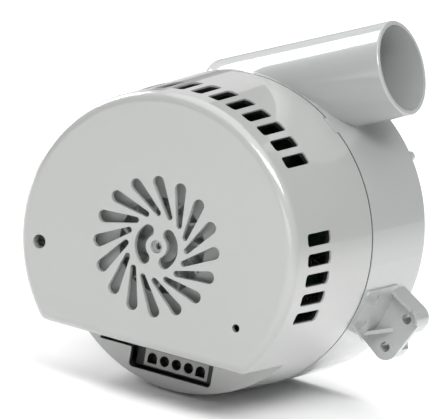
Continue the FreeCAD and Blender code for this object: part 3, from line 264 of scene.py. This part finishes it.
def turned_metal(name, colour, rough, along=(1, 30, 1)):
    """Metal with slight tarnish and fine tool marks, short along each axis with a high factor."""
    look = Shader(name)
    marks = look.noise(TOOL_MARKS_PER_METRE, 2, 0.5, look.stretched(along))
    tarnish = look.fit(look.noise(90, 4), 0.35, 0.7)
    look.colour(look.blend(tarnish, scaled(colour, 1 - TARNISH), scaled(colour, 1 + TARNISH * 0.5)))
    look.roughness(look.fit(marks, 0.3, 0.7, rough * 0.8, rough * 1.35))
    look.bump(marks, 4e-6, 0.6)
    look.set("Metallic", 1.0)
    return look.material


def cast_metal(name, colour, rough):
    """Die-cast alloy: a skin of small pits and soft cloudy patches."""
    look = Shader(name)
    cloud = look.fit(look.noise(45, 5), 0.35, 0.68)
    look.colour(look.blend(cloud, scaled(colour, 0.86), scaled(colour, 1.06)))
    look.roughness(look.fit(look.noise(700, 3), 0.3, 0.7, rough * 0.85, rough * 1.2))
    look.bump(look.noise(1400, 4), 3e-5, 0.6)
    look.bump(look.fit(look.spots(900), 0.0, 0.25), 2e-5, 0.4)
    look.set("Metallic", 1.0)
    return look.material


def laminated_steel(name, colour, band):
    """A stack of punched sheets: bands with lacquer between them, 2 pi * band apart."""
    look = Shader(name)
    wave = look.node("ShaderNodeTexWave", bands_direction="Y")
    wave.inputs["Scale"].default_value = 1 / band / WAVE_UNIT
    wave.inputs["Distortion"].default_value = 0.0
    look.link(look.place, wave.inputs["Vector"])
    sheets = wave.outputs["Fac"]
    dirt = look.fit(look.noise(300, 4), 0.3, 0.7)
    metal = look.blend(dirt, scaled(colour, 0.8), scaled(colour, 1.15))
    look.colour(look.blend(look.fit(sheets, 0.1, 0.5), scaled(colour, 0.35), metal))
    look.roughness(look.fit(sheets, 0.0, 1.0, 0.6, 0.35))
    look.bump(sheets, 6e-5, 0.8)
    look.set("Metallic", 0.8)
    return look.material


def enamelled_wire(name, colour, pitch=None):
    """Copper wire under uneven clear enamel. pitch is the width of a drawn turn about the shaft."""
    look = Shader(name)
    varnish = look.fit(look.noise(260, 4), 0.35, 0.7)
    look.colour(look.blend(varnish, scaled(colour, 0.55), scaled(colour, 1.1)))
    look.roughness(look.fit(look.noise(1200, 2), 0.3, 0.7, 0.22, 0.42))
    look.bump(look.noise(1800, 2), 1e-5, 0.5)
    if pitch:
        turns = look.maths("MULTIPLY", look.from_shaft(), 2 * math.pi / pitch)
        look.bump(look.maths("SINE", turns), pitch / 4)
    look.set("Metallic", 0.85)
    look.set("Coat Weight", 0.6)
    look.set("Coat Roughness", 0.15)
    return look.material


def solder_mask(name, colour):
    """Green board lacquer over copper tracks, which show as slightly paler raised lines."""
    look = Shader(name)
    brick = look.node("ShaderNodeTexBrick")
    for setting, value in (("Scale", 260), ("Mortar Size", 0.035), ("Brick Width", 1.7),
                           ("Row Height", 0.6)):
        brick.inputs[setting].default_value = value
    turned = look.node("ShaderNodeMapping")
    turned.inputs["Rotation"].default_value = (math.radians(90), 0, 0)
    look.link(look.place, turned.inputs["Vector"])
    look.link(turned.outputs["Vector"], brick.inputs["Vector"])
    tracks = brick.outputs["Fac"]
    cloud = look.fit(look.noise(120, 3), 0.3, 0.7)
    base = look.blend(cloud, scaled(colour, 0.85), scaled(colour, 1.1))
    look.colour(look.blend(tracks, base, scaled(colour, 1.8)))
    look.roughness(look.fit(look.noise(900, 2), 0.3, 0.7, 0.28, 0.4))
    look.bump(tracks, 3e-5, 0.7)
    look.set("Coat Weight", 0.3)
    return look.material


def soft_rubber(name, colour):
    """Matt rubber sheet with a fine dusty grain."""
    look = Shader(name)
    dust = look.fit(look.noise(500, 5), 0.45, 0.75)
    look.colour(look.blend(dust, colour, tuple(channel + 0.05 for channel in colour)))
    look.roughness(look.fit(dust, 0.0, 1.0, 0.6, 0.85))
    look.bump(look.noise(2200, 3), 2e-5, 0.6)
    return look.material


COVER_GREY = (0.364, 0.371, 0.363)
HOUSING_GREY = (0.362, 0.373, 0.371)
INSERT_GREY = (0.36, 0.365, 0.355)
FAN_GREY = (0.30, 0.31, 0.31)
CASE_BLACK = (0.014, 0.014, 0.015)
SPINDLE_BLACK = (0.012, 0.012, 0.012)
LOOKS = {
    # the cover's plastic is painted black inside as shade
    "cover_plastic": moulded_plastic("cover_plastic", COVER_GREY, 0.34, 2e-6, coat=1.0, mottle=0.01,
                                     painted_shade=cover_painted_shade, edge=0.5 * MM),
    "housing_plastic": moulded_plastic("housing_plastic", HOUSING_GREY, 0.34, 2e-6, coat=1.0,
                                       mottle=0.01, edge=0.5 * MM),
    "cast_alloy": cast_metal("cast_alloy", (0.60, 0.61, 0.62), 0.42),
    "lamination_steel": laminated_steel("lamination_steel", (0.34, 0.35, 0.37), 0.5 * MM),
    "enamelled_wire": enamelled_wire("enamelled_wire", (0.45, 0.19, 0.08), pitch=0.7 * MM),
    "dark_wire": enamelled_wire("dark_wire", (0.05, 0.026, 0.016)),
    "magnet": cast_metal("magnet", (0.10, 0.10, 0.11), 0.5),
    "bearing_steel": turned_metal("bearing_steel", (0.70, 0.71, 0.73), 0.16, along=(1, 1, 1)),
    "cage_brass": turned_metal("cage_brass", (0.68, 0.50, 0.22), 0.3),
    "turned_steel": turned_metal("turned_steel", (0.60, 0.61, 0.63), 0.28, along=(1, 40, 1)),
    "fan_plastic": moulded_plastic("fan_plastic", FAN_GREY, 0.45, 8e-6, mottle=0.08, coat=0.5,
                                   edge=0.4 * MM),
    "impeller_alloy": turned_metal("impeller_alloy", (0.72, 0.73, 0.74), 0.32, along=(30, 30, 1)),
    "circuit_board": solder_mask("circuit_board", (0.008, 0.030, 0.016)),
    "black_component": moulded_plastic("black_component", CASE_BLACK, 0.42, 1e-5, mottle=0.15),
    "heat_sink": turned_metal("heat_sink", (0.30, 0.30, 0.31), 0.4, along=(1, 20, 1)),
    # the insert's plastic is painted black in its cavities as shade
    "insert_plastic": moulded_plastic("insert_plastic", INSERT_GREY, 0.4, 6e-6, mottle=0.05,
                                      painted_shade=cavity_painted_shade, edge=0.25 * MM),
    "contact_brass": turned_metal("contact_brass", (0.10, 0.085, 0.06), 0.3),
    "spindle_plastic": moulded_plastic("spindle_plastic", SPINDLE_BLACK, 0.42, 6e-6, mottle=0.1),
    "zinc_steel": turned_metal("zinc_steel", (0.58, 0.59, 0.60), 0.34, along=(20, 20, 20)),
    "seal_rubber": soft_rubber("seal_rubber", (0.012, 0.012, 0.012)),
}


def dress_nodes():
    """Give every CAD node the look of its material slot."""
    for part in frame["record"]["subparts"]:
        mesh = frame["nodes"][part["node"]].data
        mesh.materials.clear()
        mesh.materials.append(LOOKS[part["material_slot"]])


dress_nodes()


# ---- pieces on the control board and in the joint ----------------------------------------------
# A station is a distance behind the cover's front face, along the shaft. Stations, radii and spans
# are in millimetres and angles in degrees, and an angle runs from X towards Z.

BOARD_FACE = 52.0
SHARP_ANGLE = 35


def at_station(station):
    return COVER_FRONT + station * MM


def around(radius, angle):
    """X and Z, in metres, of a place across the shaft."""
    turn = math.radians(angle)
    return radius * MM * math.cos(turn), radius * MM * math.sin(turn)


def place_piece(piece, slot, replaced=None, look=None):
    """Put an object in the scene with the look of its slot, or another look, riding the root."""
    bpy.context.scene.collection.objects.link(piece)
    piece.data.materials.append(LOOKS[look or slot])
    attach(piece, "root")
    if replaced:
        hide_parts(replaced)


def finish_piece(name, slot, form, replaced=None):
    """Make an object of a mesh form, smooth except at its sharp edges, and put it in the scene."""
    mesh = bpy.data.meshes.new(name)
    bmesh.ops.recalc_face_normals(form, faces=form.faces)
    form.to_mesh(mesh)
    form.free()
    for face in mesh.polygons:
        face.use_smooth = True
    mesh.set_sharp_from_angle(angle=math.radians(SHARP_ANGLE))
    place_piece(bpy.data.objects.new(name, mesh), slot, replaced)


def circle(form, centre, radius, station, segments, sink=None):
    """A ring of vertices about a line along the shaft. sink(turn, radius) puts one further back."""
    ring = []
    for k in range(segments):
        turn = 2 * math.pi * k / segments
        depth = sink(turn, radius) if sink else 0.0
        ring.append(form.verts.new((centre[0] + radius * MM * math.cos(turn),
                                    at_station(station + depth),
                                    centre[1] + radius * MM * math.sin(turn))))
    return ring


def join_rings(form, rings):
    """Join rings of vertices, each to the next, and close the first and the last."""
    for first, second in zip(rings, rings[1:]):
        for k in range(len(first)):
            form.faces.new((first[k], first[k - 1], second[k - 1], second[k]))
    form.faces.new(rings[0])
    form.faces.new(rings[-1][::-1])


def hoop(form, centre, radius, station, section, segments):
    """Turn a closed section of (outward, along) stops about a line along the shaft."""
    rings = []
    for k in range(segments):
        turn = 2 * math.pi * k / segments
        rings.append([form.verts.new((centre[0] + (radius + out) * MM * math.cos(turn),
                                      at_station(station + along),
                                      centre[1] + (radius + out) * MM * math.sin(turn)))
                      for out, along in section])
    for k in range(segments):
        for j in range(len(section)):
            form.faces.new((rings[k][j], rings[k][j - 1], rings[k - 1][j - 1], rings[k - 1][j]))


def block(form, angle, across, out, stations, bevel):
    """A box with rounded edges: spans across a ray from the shaft, outward along it, and back."""
    turn = math.radians(angle)
    outward = Vector((math.cos(turn), 0, math.sin(turn))) * MM
    sideways = Vector((-math.sin(turn), 0, math.cos(turn))) * MM
    corners = []
    for station in stations:
        for side, reach in ((0, 0), (1, 0), (1, 1), (0, 1)):
            back = Vector((0, at_station(station), 0))
            corners.append(form.verts.new(back + sideways * across[side] + outward * out[reach]))
    sides = [(k, k + 4, (k + 1) % 4 + 4, (k + 1) % 4) for k in range(4)]
    loops = [(0, 1, 2, 3), (7, 6, 5, 4), *sides]
    faces = [form.faces.new([corners[k] for k in loop]) for loop in loops]
    edges = list(dict.fromkeys(edge for face in faces for edge in face.edges))
    bmesh.ops.bevel(form, geom=edges, offset=bevel * MM, segments=2, affect="EDGES", profile=0.6)


CAN_PLACES = (around(55, 50), around(55, 68), around(55, 86))

# a sleeve's outline, as (radius, station) stops from its top to its foot
SLEEVE_SEGMENTS = 48
SLEEVE = [(5.3, 28.35), (5.35, 28.1), (5.75, 28.0), (6.1, 28.2), (6.25, 28.6), (6.25, 46.6),
          (6.1, 47.2), (5.85, 47.7), (5.8, 48.1), (5.85, 48.5), (6.1, 49.0), (6.25, 49.6),
          (6.25, 51.4), (6.05, 51.8), (5.7, 51.95)]

# the scored metal top of a can
TOP_SEGMENTS = 96
CAN_TOP = 28.2
TOP_THICKNESS = 0.6
TOP_RADII = (0.15, 0.8, 1.6, 2.4, 3.2, 3.8, 4.1, 5.2)
SCORE_ANGLES = (20, 80, 140)
SCORE_REACH = 4
SCORE_HALF_WIDTH = 0.22
SCORE_DEPTH = 0.22


def score(turn, radius):
    """How deep a can's top is pressed in at a place: three lines cross at its middle."""
    off_line = min(abs(math.sin(turn - math.radians(angle))) * radius for angle in SCORE_ANGLES)
    return SCORE_DEPTH if off_line < SCORE_HALF_WIDTH and radius < SCORE_REACH else 0.0


def capacitor_cans():
    """Electrolytic cans: a shrunk sleeve with a crimp near its foot, and a scored metal top."""
    sleeves, tops = bmesh.new(), bmesh.new()
    for centre in CAN_PLACES:
        join_rings(sleeves, [circle(sleeves, centre, radius, station, SLEEVE_SEGMENTS)
                             for radius, station in SLEEVE])
        rings = [circle(tops, centre, radius, CAN_TOP, TOP_SEGMENTS, score) for radius in TOP_RADII]
        rings.append(circle(tops, centre, TOP_RADII[-1], CAN_TOP + TOP_THICKNESS, TOP_SEGMENTS))
        join_rings(tops, rings)
    finish_piece("capacitor_sleeves", "black_component", sleeves, "capacitors")
    finish_piece("capacitor_tops", "heat_sink", tops)


CHOKE_PLACE = around(56, -8)
CHOKE_STATION = BOARD_FACE - 3.4
CHOKE_RADIUS = 9
CORE_HALF_WIDTH = 1.95
CORE_CHAMFER = 0.5
CORE_SEGMENTS = 64
WIRE_RADIUS = 0.5
COIL_RADIUS = 2.8
COIL_TURNS = 30
STOPS_PER_TURN = 14
COIL_START = 200
COIL_SWEEP = 335
WIRE_END = BOARD_FACE + 0.4


def wound_choke():
    """A ferrite ring wound with enamelled wire, whose two ends go down to the board."""
    wide, flat = CORE_HALF_WIDTH, CORE_HALF_WIDTH - CORE_CHAMFER
    outline = [(flat, wide), (wide, flat), (wide, -flat), (flat, -wide),
               (-flat, -wide), (-wide, -flat), (-wide, flat), (-flat, wide)]
    core = bmesh.new()
    hoop(core, CHOKE_PLACE, CHOKE_RADIUS, CHOKE_STATION, outline, CORE_SEGMENTS)
    finish_piece("choke_core", "magnet", core)

    x, z = CHOKE_PLACE
    steps = COIL_TURNS * STOPS_PER_TURN
    stops = []
    for k in range(steps + 1):
        along = math.radians(COIL_START + COIL_SWEEP * k / steps)
        wind = 2 * math.pi * k / STOPS_PER_TURN
        reach = CHOKE_RADIUS + COIL_RADIUS * math.cos(wind)
        stops.append((x + reach * MM * math.cos(along),
                      at_station(CHOKE_STATION + COIL_RADIUS * math.sin(wind)),
                      z + reach * MM * math.sin(along)))
    ends = [(stop[0], at_station(WIRE_END), stop[2]) for stop in (stops[0], stops[-1])]
    stops = [ends[0]] + stops + [ends[1]]
    curve = bpy.data.curves.new("choke_winding", "CURVE")
    curve.dimensions = "3D"
    curve.bevel_depth = WIRE_RADIUS * MM
    curve.bevel_resolution = 3
    curve.use_fill_caps = True
    spline = curve.splines.new("NURBS")
    spline.points.add(len(stops) - 1)
    for point, stop in zip(spline.points, stops):
        point.co = (*stop, 1.0)
    spline.order_u = 3
    spline.use_endpoint_u = True
    spline.resolution_u = 2
    place_piece(bpy.data.objects.new("choke_winding", curve), "enamelled_wire", "choke_coil",
                look="dark_wire")


TRANSISTOR_COUNT = 6
TRANSISTOR_START = 108
TRANSISTOR_STEP = 9.5
CASE_SPANS = ((-4.2, 4.2), (56.2, 59.6), (41.0, 48.6))      # across, outward and back
TAB_SPANS = ((-4.0, 4.0), (59.5, 60.4), (37.0, 48.2))
LEG_PITCH = 2.54
LEG_OUT = (57.6, 58.2)
LEG_PARTS = ((0.6, (48.4, 50.2)), (0.35, (50.0, 52.4)))     # half width and stations
CASE_BEVEL = 0.35
TAB_BEVEL = 0.15
LEG_BEVEL = 0.1


def power_transistors():
    """Six switching transistors: a moulded body on a metal tab, with three legs in the board."""
    bodies, metal = bmesh.new(), bmesh.new()
    for k in range(TRANSISTOR_COUNT):
        angle = TRANSISTOR_START + TRANSISTOR_STEP * k
        block(bodies, angle, *CASE_SPANS, CASE_BEVEL)
        block(metal, angle, *TAB_SPANS, TAB_BEVEL)
        for leg in (-LEG_PITCH, 0, LEG_PITCH):
            for half, stations in LEG_PARTS:
                block(metal, angle, (leg - half, leg + half), LEG_OUT, stations, LEG_BEVEL)
    finish_piece("transistor_bodies", "black_component", bodies, "power_transistors")
    finish_piece("transistor_metal", "zinc_steel", metal)


# the radius and angle of each small part on the board, then its length, width and height
CHIPS = [(50, 216, 5.0, 3.9, 1.5), (61, 226, 3.1, 2.6, 1.1), (50, 238, 3.1, 1.6, 0.9),
         (60, 211, 1.6, 0.8, 0.6), (48, 305, 5.0, 3.9, 1.5), (59, 313, 3.1, 2.6, 1.1),
         (50, 322, 1.6, 0.8, 0.6), (60, 326, 1.6, 0.8, 0.6), (49, 24, 3.1, 2.6, 1.1),
         (60, 20, 1.6, 0.8, 0.6), (60, 27, 1.6, 0.8, 0.6), (48, 34, 1.6, 0.8, 0.6)]
CHIP_GAP = 0.1
CHIP_BEVEL = 0.12
FOOT_PITCH = 1.27
FOOT_HALF_WIDTH = 0.22
FOOT_HEIGHT = 0.3
FOOT_UNDER = 0.15
FOOT_BEYOND = 0.45
FOOT_BEVEL = 0.05


def surface_parts():
    """Small parts soldered flat on the board, each with metal ends or a row of feet."""
    bodies, metal = bmesh.new(), bmesh.new()
    for radius, angle, length, width, tall in CHIPS:
        block(bodies, angle, (-length / 2, length / 2), (radius - width / 2, radius + width / 2),
              (BOARD_FACE - tall, BOARD_FACE - CHIP_GAP), CHIP_BEVEL)
        feet = max(1, round(width / FOOT_PITCH))
        for side in (-1, 1):
            across = sorted((side * (length / 2 - FOOT_UNDER), side * (length / 2 + FOOT_BEYOND)))
            for k in range(feet):
                middle = radius + (k - (feet - 1) / 2) * FOOT_PITCH
                block(metal, angle, across, (middle - FOOT_HALF_WIDTH, middle + FOOT_HALF_WIDTH),
                      (BOARD_FACE - FOOT_HEIGHT, BOARD_FACE), FOOT_BEVEL)
    finish_piece("board_chips", "black_component", bodies)
    finish_piece("board_chip_feet", "zinc_steel", metal)


BEAD_INSIDE = 71.3
BEAD_EDGE = 1.85
BEAD_SHOULDER = 2.0
BEAD_CROWN = 2.05
BEAD_ROUND = 0.12
BEAD_SEGMENTS = 256


def seam_bead():
    """The rubber bead that fills the joint between cover and housing, almost to the surface."""
    low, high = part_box("rim_gasket")
    start, width = (low[1] - COVER_FRONT) / MM, (high[1] - low[1]) / MM
    outline = [(0.0, 0.0), (BEAD_EDGE, 0.0), (BEAD_SHOULDER, BEAD_ROUND), (BEAD_CROWN, width / 2),
               (BEAD_SHOULDER, width - BEAD_ROUND), (BEAD_EDGE, width), (0.0, width)]
    form = bmesh.new()
    hoop(form, (0, 0), BEAD_INSIDE, start, outline, BEAD_SEGMENTS)
    finish_piece("seam_bead", "seal_rubber", form, "rim_gasket")


seam_bead()
capacitor_cans()
wound_choke()
power_transistors()
surface_parts()


# ---- floor, light and camera -------------------------------------------------------------------
# A softbox has a name, a direction from the object, a width, a height and a glow.

FLOOR_HALF = 30.0
LAMP_DISTANCE = 1.3
WORLD_STRENGTH = 0.22
SKY_STRENGTH = 1.6
SKY_SPREAD = 70
SOFTBOXES = (("left_box", (-0.79, 0.14, 0.57), 0.7, 0.45, 9),
             ("rim_box", (-0.62, 0.72, 0.32), 0.8, 0.5, 0.5),
             ("crescent_box", (-0.94, 0.26, 0.22), 0.5, 0.6, 5),
             ("top_box", (0.52, -0.46, 0.70), 0.95, 0.38, 11),
             ("right_box", (0.88, -0.43, -0.02), 0.3, 0.5, 1),
             ("front_box", (0.42, -0.90, 0.12), 0.9, 0.3, 2.4),
             ("back_box", (-0.30, 0.60, 0.75), 0.9, 0.5, 1.0))
CAMERA_PLACE = (2.66875, -5.49773, 1.28375)
CAMERA_TURN = (77.9505, -9.4510, 28.1873)
CAMERA_LENS = 1089.74


def floor():
    """A near-white floor at the object's lowest point, wide enough to look endless."""
    mesh = bpy.data.meshes.new("floor")
    form = bmesh.new()
    bmesh.ops.create_grid(form, x_segments=8, y_segments=8, size=FLOOR_HALF)
    form.to_mesh(mesh)
    form.free()
    piece = bpy.data.objects.new("floor", mesh)
    piece.location = (0, 0, CAD_BOX[0][2])
    bpy.context.scene.collection.objects.link(piece)
    look = Shader("floor_paint")
    cloud = look.fit(look.noise(3, 3), 0.3, 0.7)
    look.colour(look.blend(cloud, (0.93, 0.93, 0.93), (0.95, 0.95, 0.95)))
    look.roughness(look.fit(look.noise(60, 2), 0.3, 0.7, 0.85, 0.95))
    look.set("Specular IOR Level", 0.1)
    mesh.materials.append(look.material)


def softbox(name, towards, width, height, glow):
    """A rectangular light that faces the object; glow is its brightness, whatever its size."""
    data = bpy.data.lights.new(name, "AREA")
    data.shape = "RECTANGLE"
    data.size = width
    data.size_y = height
    data.energy = glow * math.pi * width * height
    lamp = bpy.data.objects.new(name, data)
    direction = Vector(towards).normalized()
    centre = (Vector(CAD_BOX[0]) + Vector(CAD_BOX[1])) / 2
    lamp.location = centre + direction * LAMP_DISTANCE
    lamp.rotation_mode = "QUATERNION"
    lamp.rotation_quaternion = direction.to_track_quat("Z", "Y")
    lamp.visible_camera = False
    bpy.context.scene.collection.objects.link(lamp)


def skylight():
    """A wide soft light from straight above, which lights the floor evenly however far it goes."""
    data = bpy.data.lights.new("skylight", "SUN")
    data.energy = SKY_STRENGTH
    data.angle = math.radians(SKY_SPREAD)
    lamp = bpy.data.objects.new("skylight", data)
    lamp.location = (0, 0, 2)
    bpy.context.scene.collection.objects.link(lamp)


def studio():
    """A dim white world, a softbox for each reflection that the plastic shows, and the skylight."""
    world = bpy.data.worlds.new("studio")
    world.use_nodes = True
    background = world.node_tree.nodes["Background"]
    background.inputs["Color"].default_value = (1.0, 1.0, 1.0, 1.0)
    background.inputs["Strength"].default_value = WORLD_STRENGTH
    bpy.context.scene.world = world
    for box in SOFTBOXES:
        softbox(*box)
    skylight()


def photographer():
    """A long lens from the front right and a little above, slightly rolled."""
    data = bpy.data.cameras.new("camera")
    data.lens = CAMERA_LENS
    data.sensor_width = 36.0
    data.clip_start = 0.1
    data.clip_end = 100.0
    camera = bpy.data.objects.new("camera", data)
    camera.location = CAMERA_PLACE
    camera.rotation_euler = Euler([math.radians(angle) for angle in CAMERA_TURN])
    bpy.context.scene.collection.objects.link(camera)
    bpy.context.scene.camera = camera
    bpy.context.scene.view_settings.view_transform = "Standard"


floor()
studio()
photographer()
